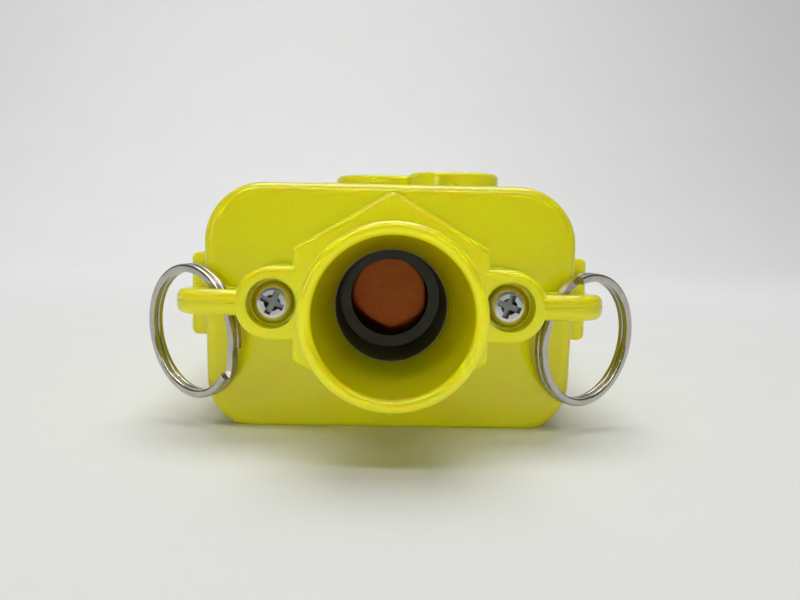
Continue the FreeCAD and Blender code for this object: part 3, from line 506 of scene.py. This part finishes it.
def low_painted_shade(tree):
    """Painted shade: a darker yellow towards the side that the station lies on, thinned in patches."""
    patches = remap(tree, noise(tree, **LOW_SHADE_NOISE), *LOW_SHADE_CUT, LOW_SHADE_THINNEST, 1)
    low = combine(tree, "MULTIPLY", between(tree, "Z", LOW_SHADE_TOP, 0), patches)
    return combine(tree, "MULTIPLY", low, LOW_SHADE_COVER)


def yellow_finish(name, settings, gloss_step=0.0):
    """The lemon-yellow moulding, slightly translucent."""
    roughness = settings.gloss + gloss_step
    material = moulded_finish(name, settings.yellow, roughness, grain=YELLOW_GRAIN, flow=YELLOW_FLOW)
    # Painted shade, darker towards the bottom of the yellow pieces.
    cover_colour(material, low_painted_shade, LOW_SHADE_COLOUR)
    shader = material.node_tree.nodes["Principled BSDF"]
    shader.inputs["Subsurface Weight"].default_value = 1.0
    shader.inputs["Subsurface Radius"].default_value = GLOW_RADIUS
    shader.inputs["Subsurface Scale"].default_value = GLOW_SCALE
    return material


def rubber_finish(name, colour, bloom):
    """Matt black rubber with a fine grain, a grey bloom and settled lint."""
    material, tree, shader = new_finish(name)
    tone = remap(tree, noise(tree, **BLOOM_NOISE), *BLOOM_CUT)
    base = blend_colours(tree, combine(tree, "MULTIPLY", tone, bloom), rgba(colour), BLOOM_COLOUR)
    lint = remap(tree, noise(tree, **LINT_NOISE), *LINT_CUT)
    base = blend_colours(tree, combine(tree, "MULTIPLY", lint, LINT_COVER), base, LINT_COLOUR)
    tree.links.new(base, shader.inputs["Base Color"])
    tree.links.new(remap(tree, tone, 0, 1, *RUBBER_ROUGHNESS), shader.inputs["Roughness"])
    bump(tree, shader, noise(tree, **RUBBER_GRAIN_NOISE), RUBBER_DEPTH)
    return material


def phenolic_finish(name, colour):
    """Brown moulded phenolic: mottled resin with pale filler fibres and a dull skin."""
    material, tree, shader = new_finish(name)
    mottle = remap(tree, noise(tree, **RESIN_NOISE), *MOTTLE_CUT)
    dark, light = RESIN_SHADES
    base = blend_colours(tree, mottle, rgba(colour, dark), rgba(colour, light))
    fibre = remap(tree, noise(tree, **FIBRE_NOISE), *FIBRE_CUT)
    base = blend_colours(tree, combine(tree, "MULTIPLY", fibre, FIBRE_COVER), base, rgba(colour, FIBRE_SHADE))
    tree.links.new(base, shader.inputs["Base Color"])
    tree.links.new(remap(tree, mottle, 0, 1, *RESIN_ROUGHNESS), shader.inputs["Roughness"])
    shader.inputs["Specular IOR Level"].default_value = RESIN_SPECULAR
    bump(tree, shader, mottle, RESIN_DEPTH)
    return material


def plated_finish(name, colour, roughness, stain):
    """Plated or drawn metal: soft patchy gloss, fine drawing marks and a little tarnish."""
    material, tree, shader = new_finish(name)
    shader.inputs["Metallic"].default_value = 1.0
    patches = remap(tree, noise(tree, **TARNISH_NOISE), *TARNISH_CUT)
    tarnish = combine(tree, "MULTIPLY", patches, stain)
    base = blend_colours(tree, tarnish, rgba(colour), rgba(colour, TARNISH_SHADE))
    tree.links.new(base, shader.inputs["Base Color"])
    drawn = noise(tree, **DRAWN_NOISE)
    rough = remap(tree, patches, 0, 1, roughness - TARNISH_BELOW, roughness + TARNISH_ABOVE)
    rough = combine(tree, "ADD", rough, remap(tree, drawn, *DRAWN_CUT, *DRAWN_ROUGHNESS))
    tree.links.new(rough, shader.inputs["Roughness"])
    bump(tree, shader, drawn, DRAWN_DEPTH)
    return material


def bore_painted_light(tree):
    """Painted light: how far the wall of the bush's bore in front of the lip that grips the cable is painted
    lighter.
    """
    return combine(tree, "MULTIPLY", between(tree, "Y", BORE_LIP_Y, BORE_WALL_Y), BORE_PAINTED_LIGHT_COVER)


def paint_recess_shade(material, spots, keep, axis, crown):
    """Darkens the cross recesses of screws with painted shade."""
    # The painted shade: deeper than the crown and near a screw's axis.
    def recess_shade(tree):
        deep = between(tree, axis, crown + RECESS_SHADE_START, crown + RECESS_SHADE_FULL)
        inside = combine(tree, "MULTIPLY", deep, near_axes(tree, spots, keep, RECESS_RADIUS))
        return combine(tree, "MULTIPLY", inside, RECESS_SHADE_COVER)
    cover_colour(material, recess_shade, RECESS_SHADE_COLOUR)


# ---- parting lines of the collar's tabs ----

def tab_route():
    """Points along one tab's edge, from the ear round the tab's end, each with the way out from the edge."""
    radius = TAB_DEPTH / 2
    route = [(EAR_EDGE_X, TAB_FRONT_Y, 0.0, -1.0)]
    for step in range(LINE_STEPS + 1):
        angle = math.radians(LINE_SWEEP_DEG) * step / LINE_STEPS
        out_x = math.sin(angle)
        out_y = -math.cos(angle)
        route.append((TAB_END_X - radius + radius * out_x, TAB_FRONT_Y + radius * (1 + out_y), out_x, out_y))
    return route


def line_profile():
    """The half-round bead's section: how far out and how far along z each point is; its feet are sunk."""
    profile = []
    for step in range(LINE_SIDES + 1):
        turn = math.pi * step / LINE_SIDES
        foot = step in (0, LINE_SIDES)
        rise = LINE_HEIGHT * math.sin(turn) - (LINE_ROOT if foot else 0)
        profile.append((rise, LINE_HALF_WIDTH * math.cos(turn)))
    return profile


def tab_line(side):
    """The thin raised line left by the mould round one tab, as a half-round bead along its middle."""
    shape = bmesh.new()
    rows = []
    for x, y, out_x, out_y in tab_route():
        rows.append([shape.verts.new((side * (x + rise * out_x), y + rise * out_y, COLLAR_MIDDLE_Z + width))
                     for rise, width in line_profile()])
    for row, following in zip(rows, rows[1:]):
        for step in range(LINE_SIDES + 1):
            after = (step + 1) % (LINE_SIDES + 1)
            shape.faces.new((row[step], row[after], following[after], following[step]))
    for row in (rows[0], rows[-1]):
        shape.faces.new(row)
    bmesh.ops.recalc_face_normals(shape, faces=shape.faces)
    mesh = bpy.data.meshes.new("tab_line")
    shape.to_mesh(mesh)
    shape.free()
    mesh.shade_smooth()
    return mesh


# ---- symbol inlays ----

def sunk_floor(cap):
    """The faces at the bottom of the symbol sunk into a cap, as a new bmesh."""
    mesh = cap.data
    top = max(vertex.co.z for vertex in mesh.vertices)
    levels = [face.center.z for face in mesh.polygons if face.normal.z > LEVEL_NORMAL]
    floors = [round(level, 5) for level in levels if level < top - FLOOR_TOLERANCE]
    if not floors:
        raise RuntimeError(f"{cap.name} has no sunk symbol")
    floor = max(floors)
    shape = bmesh.new()
    shape.from_mesh(mesh)
    shape.normal_update()
    others = [face for face in shape.faces
              if face.normal.z < LEVEL_NORMAL or abs(face.calc_center_median().z - floor) > FLOOR_TOLERANCE]
    bmesh.ops.delete(shape, geom=others, context="FACES")
    bmesh.ops.remove_doubles(shape, verts=shape.verts, dist=SAME_POINT)
    return shape


def inlay(cap, settings, material):
    """The white filling of one cap's symbol, a thin slab with an eased edge."""
    shape = sunk_floor(cap)
    bmesh.ops.dissolve_limit(shape, angle_limit=FLAT_ANGLE, verts=shape.verts, edges=shape.edges)
    band = bmesh.ops.inset_region(shape, faces=shape.faces[:], thickness=settings.gap, use_boundary=True)
    bmesh.ops.delete(shape, geom=band["faces"], context="FACES")
    raised = bmesh.ops.extrude_face_region(shape, geom=shape.faces[:])
    lifted = [item for item in raised["geom"] if isinstance(item, bmesh.types.BMVert)]
    bmesh.ops.translate(shape, verts=lifted, vec=(0, 0, settings.fill))
    bmesh.ops.recalc_face_normals(shape, faces=shape.faces)
    mesh = bpy.data.meshes.new(cap.name + "_symbol")
    shape.to_mesh(mesh)
    shape.free()
    piece = bpy.data.objects.new(cap.name + "_symbol", mesh)
    bpy.context.collection.objects.link(piece)
    mesh.materials.append(material)
    soften = piece.modifiers.new("Eased edge", "BEVEL")
    soften.width = settings.fill * EASED_SHARE
    soften.segments = EASED_STEPS
    return piece


# ---- return springs ----

def return_coil(name, material):
    """A copy of the spring in place of the rigid one, attached to the body that the spring belongs to."""
    coil = bpy.data.objects.new(name + "_coil", FRAME["nodes"][name].data.copy())
    bpy.context.collection.objects.link(coil)
    coil.data.materials.clear()
    coil.data.materials.append(material)
    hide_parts(name)
    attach(coil, BODY_OF_NODE[name])
    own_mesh(coil)


# ---- operators, one for each group of like pieces ----

class PENDANT_OT_housing(bpy.types.Operator):
    """Finish the housing and its back cover"""

    bl_idname = "pendant.housing"
    bl_label = "Housing and Cover"

    def execute(self, context):
        yellow = yellow_finish("Yellow Housing", context.scene.pendant_plastic)
        assign(["housing", "back_cover"], yellow)
        return {"FINISHED"}


class PENDANT_OT_collar(bpy.types.Operator):
    """Finish the cable collar and add the mould lines round its tabs"""

    bl_idname = "pendant.collar"
    bl_label = "Cable Collar"

    def execute(self, context):
        plastic = context.scene.pendant_plastic
        assign(["cable_collar"], yellow_finish("Yellow Collar", plastic, COLLAR_GLOSS_STEP))
        line = moulded_finish("Yellow Mould Line", plastic.yellow, plastic.gloss, grain=YELLOW_GRAIN,
                              flow=YELLOW_FLOW)
        for name, side in (("left_tab_line", -1), ("right_tab_line", 1)):
            bead = bpy.data.objects.new(name, tab_line(side))
            bpy.context.collection.objects.link(bead)
            bead.data.materials.append(line)
            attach(bead, "case")
        return {"FINISHED"}


class PENDANT_OT_rubber(bpy.types.Operator):
    """Finish the seals and the cable bush"""

    bl_idname = "pendant.rubber"
    bl_label = "Seals and Bush"

    def execute(self, context):
        rubber = context.scene.pendant_rubber
        seals = rubber_finish("Seal Rubber", rubber.seal, bloom=0.35)
        assign(["cover_seal", "collar_seal", "button_seals"], seals)
        bush = rubber_finish("Bush Rubber", rubber.bush, bloom=0.30)
        # Painted light: the bore wall in front of the lip is painted lighter.
        cover_colour(bush, bore_painted_light, BORE_PAINTED_LIGHT_COLOUR)
        assign(["cable_bushing"], bush)
        return {"FINISHED"}


class PENDANT_OT_rings(bpy.types.Operator):
    """Finish the two split rings"""

    bl_idname = "pendant.rings"
    bl_label = "Split Rings"

    def execute(self, context):
        nickel = plated_finish("Ring Nickel", context.scene.pendant_metal.nickel, roughness=0.16, stain=0.30)
        assign(["split_ring_left", "split_ring_right"], nickel)
        return {"FINISHED"}


class PENDANT_OT_screws(bpy.types.Operator):
    """Finish the screws"""

    bl_idname = "pendant.screws"
    bl_label = "Screws"

    def execute(self, context):
        zinc = {"colour": context.scene.pendant_metal.zinc, "roughness": 0.17, "stain": 0.15}
        assign(nodes_ending("_screws"), plated_finish("Bright Zinc", **zinc))
        collar = plated_finish("Collar Screw Zinc", **zinc)
        # Painted shade in the collar screws' recesses.
        paint_recess_shade(collar, COLLAR_SCREW_AXES, (1, 0, 1), "Y", COLLAR_SCREW_CROWN)
        assign(["collar_screws"], collar)
        cover = plated_finish("Cover Screw Zinc", **zinc)
        # Painted shade in the cover screws' recesses.
        paint_recess_shade(cover, COVER_SCREW_AXES, (1, 1, 0), "Z", COVER_SCREW_CROWN)
        assign(["cover_screws"], cover)
        return {"FINISHED"}


class PENDANT_OT_contacts(bpy.types.Operator):
    """Finish the brass strips and bridges and the brown blocks that carry them"""

    bl_idname = "pendant.contacts"
    bl_label = "Contacts"

    def execute(self, context):
        brass = plated_finish("Contact Brass", context.scene.pendant_metal.brass, roughness=0.26, stain=0.40)
        assign(["contact_strips"] + nodes_ending("_contact_bridge"), brass)
        brown = phenolic_finish("Brown Phenolic", context.scene.pendant_plastic.phenolic)
        assign(["mounting_board"] + nodes_ending("_contact_block"), brown)
        return {"FINISHED"}


class PENDANT_OT_springs(bpy.types.Operator):
    """Finish the return springs and put attached copies in their place"""

    bl_idname = "pendant.springs"
    bl_label = "Springs"

    def execute(self, context):
        wire = plated_finish("Spring Wire", context.scene.pendant_metal.spring, roughness=0.28, stain=0.35)
        springs = nodes_ending("_spring")
        assign(springs, wire)
        for name in springs:
            return_coil(name, wire)
        return {"FINISHED"}


class PENDANT_OT_buttons(bpy.types.Operator):
    """Finish the start, arrow and stop buttons"""

    bl_idname = "pendant.buttons"
    bl_label = "Buttons"

    def execute(self, context):
        plastic = context.scene.pendant_plastic
        assign(["start_button"], moulded_finish("Start Green", plastic.start_green, roughness=0.30))
        assign(["stop_head"], moulded_finish("Stop Red", plastic.stop_red, roughness=0.28))
        assign(["stop_stem"], moulded_finish("Natural Stem", plastic.stem_white, roughness=0.40))
        arrows = [name for name in nodes_ending("_button") if name != "start_button"]
        assign(arrows, moulded_finish("Cap Black", plastic.cap_black, roughness=0.34))
        return {"FINISHED"}


class PENDANT_OT_symbols(bpy.types.Operator):
    """Fill the symbols sunk into the buttons"""

    bl_idname = "pendant.symbols"
    bl_label = "Symbol Fillings"

    def execute(self, context):
        white = moulded_finish("Symbol White", context.scene.pendant_plastic.symbol_white, roughness=0.45)
        for name in nodes_ending("_button"):
            piece = inlay(FRAME["nodes"][name], context.scene.pendant_symbols, white)
            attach(piece, BODY_OF_NODE[name])
        return {"FINISHED"}


class PENDANT_OT_stage(bpy.types.Operator):
    """Make the floor, the backdrop, the lights and the camera"""

    bl_idname = "pendant.stage"
    bl_label = "Stage"

    def execute(self, context):
        settings = context.scene.pendant_stage
        make_backdrop(settings)
        make_lights(settings)
        make_camera(settings)
        context.scene.view_settings.view_transform = "Standard"
        return {"FINISHED"}


class PENDANT_PT_panel(bpy.types.Panel):
    """Lists the pieces of the hoist pendant"""

    bl_idname = "PENDANT_PT_panel"
    bl_label = "Hoist Pendant"
    bl_space_type = "VIEW_3D"
    bl_region_type = "UI"
    bl_category = "Pendant"

    def draw(self, context):
        layout = self.layout
        for title, settings in SETTINGS.items():
            box = layout.box()
            box.label(text=title)
            group = getattr(context.scene, settings)
            for key in group.__annotations__:
                box.prop(group, key)
        for operator in OPERATORS:
            layout.operator(operator.bl_idname)


# ---- stage ----

def make_backdrop(settings):
    """One plain sheet: a floor that curves up into a wall behind the station."""
    profile = [(FLOOR_FRONT_Y, 0.0), (BEND_START_Y, 0.0)]
    for step in range(1, BEND_STEPS + 1):
        angle = math.pi / 2 * step / BEND_STEPS
        profile.append((BEND_START_Y + BEND_RADIUS * math.sin(angle), BEND_RADIUS * (1 - math.cos(angle))))
    profile.append((BEND_START_Y + BEND_RADIUS, WALL_TOP_Z))
    vertices = [(side, y, z) for side in (-SHEET_HALF_WIDTH, SHEET_HALF_WIDTH) for y, z in profile]
    count = len(profile)
    faces = [(i, count + i, count + i + 1, i + 1) for i in range(count - 1)]
    mesh = bpy.data.meshes.new("backdrop")
    mesh.from_pydata(vertices, [], faces)
    mesh.shade_smooth()
    sheet = bpy.data.objects.new("backdrop", mesh)
    sheet.location.z = -FLOOR_GAP
    bpy.context.collection.objects.link(sheet)
    material, tree, shader = new_finish("Pale Sheet")
    tone = remap(tree, noise(tree, **SHEET_NOISE), *MOTTLE_CUT)
    base = blend_colours(tree, tone, rgba(settings.backdrop, SHEET_SHADE), rgba(settings.backdrop))
    tree.links.new(base, shader.inputs["Base Color"])
    shader.inputs["Roughness"].default_value = SHEET_ROUGHNESS
    shader.inputs["Specular IOR Level"].default_value = SHEET_SPECULAR
    mesh.materials.append(material)


def area_light(name, power, centre, target, size, spread_deg):
    """A soft rectangular light at a point, aimed at another; a small spread keeps it off the floor nearby."""
    data = bpy.data.lights.new(name, "AREA")
    data.shape = "RECTANGLE"
    data.size, data.size_y = size
    data.energy = power
    data.spread = math.radians(spread_deg)
    data.color = LIGHT_TINT
    lamp = bpy.data.objects.new(name, data)
    bpy.context.collection.objects.link(lamp)
    lamp.location = centre
    lamp.rotation_euler = (Vector(target) - Vector(centre)).to_track_quat("-Z", "Y").to_euler()
    lamp.visible_camera = False
    lamp.visible_glossy = name not in HIDDEN_IN_GLOSS


def make_lights(settings):
    """The lights in LIGHTS, each with its own power setting, and an even pale surround."""
    for name, placing in LIGHTS.items():
        area_light(name, getattr(settings, name.lower() + "_power"), *placing)
    world = bpy.data.worlds.new("Pale Surround")
    world.use_nodes = True
    surround = world.node_tree.nodes["Background"]
    surround.inputs["Color"].default_value = SURROUND_COLOUR
    surround.inputs["Strength"].default_value = SURROUND_STRENGTH
    bpy.context.scene.world = world


def make_camera(settings):
    """The camera close above the floor, in front of the cable end."""
    data = bpy.data.cameras.new("Camera")
    data.lens = settings.focal_length
    data.sensor_width = SENSOR_WIDTH_MM
    data.clip_start = CLIP_START
    camera = bpy.data.objects.new("Camera", data)
    bpy.context.collection.objects.link(camera)
    end_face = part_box("housing")[0].y
    place_of_lens = Matrix.Translation((settings.aside, end_face - settings.distance, settings.height))
    aim = (Matrix.Rotation(-settings.yaw, 4, "Z") @ Matrix.Rotation(math.pi / 2 - settings.pitch, 4, "X")
           @ Matrix.Rotation(settings.roll, 4, "Z"))
    camera.matrix_world = place_of_lens @ aim
    bpy.context.scene.camera = camera


# ---- registering and running ----

SETTINGS = {"Plastic": "pendant_plastic", "Rubber": "pendant_rubber", "Metal": "pendant_metal",
            "Symbols": "pendant_symbols", "Stage": "pendant_stage"}
GROUPS = (PlasticSettings, RubberSettings, MetalSettings, SymbolSettings, StageSettings)
OPERATORS = (PENDANT_OT_housing, PENDANT_OT_collar, PENDANT_OT_rubber, PENDANT_OT_rings,
             PENDANT_OT_screws, PENDANT_OT_contacts, PENDANT_OT_springs, PENDANT_OT_buttons,
             PENDANT_OT_symbols, PENDANT_OT_stage)
CLASSES = GROUPS + OPERATORS + (PENDANT_PT_panel,)


def register():
    for item in CLASSES:
        bpy.utils.register_class(item)
    for group, key in zip(GROUPS, SETTINGS.values()):
        setattr(bpy.types.Scene, key, bpy.props.PointerProperty(type=group))


def unregister():
    for key in SETTINGS.values():
        delattr(bpy.types.Scene, key)
    for item in reversed(CLASSES):
        bpy.utils.unregister_class(item)


def main():
    register()
    for operator in OPERATORS:
        group, name = operator.bl_idname.split(".")
        getattr(getattr(bpy.ops, group), name)()


if __name__ == "__main__":
    main()
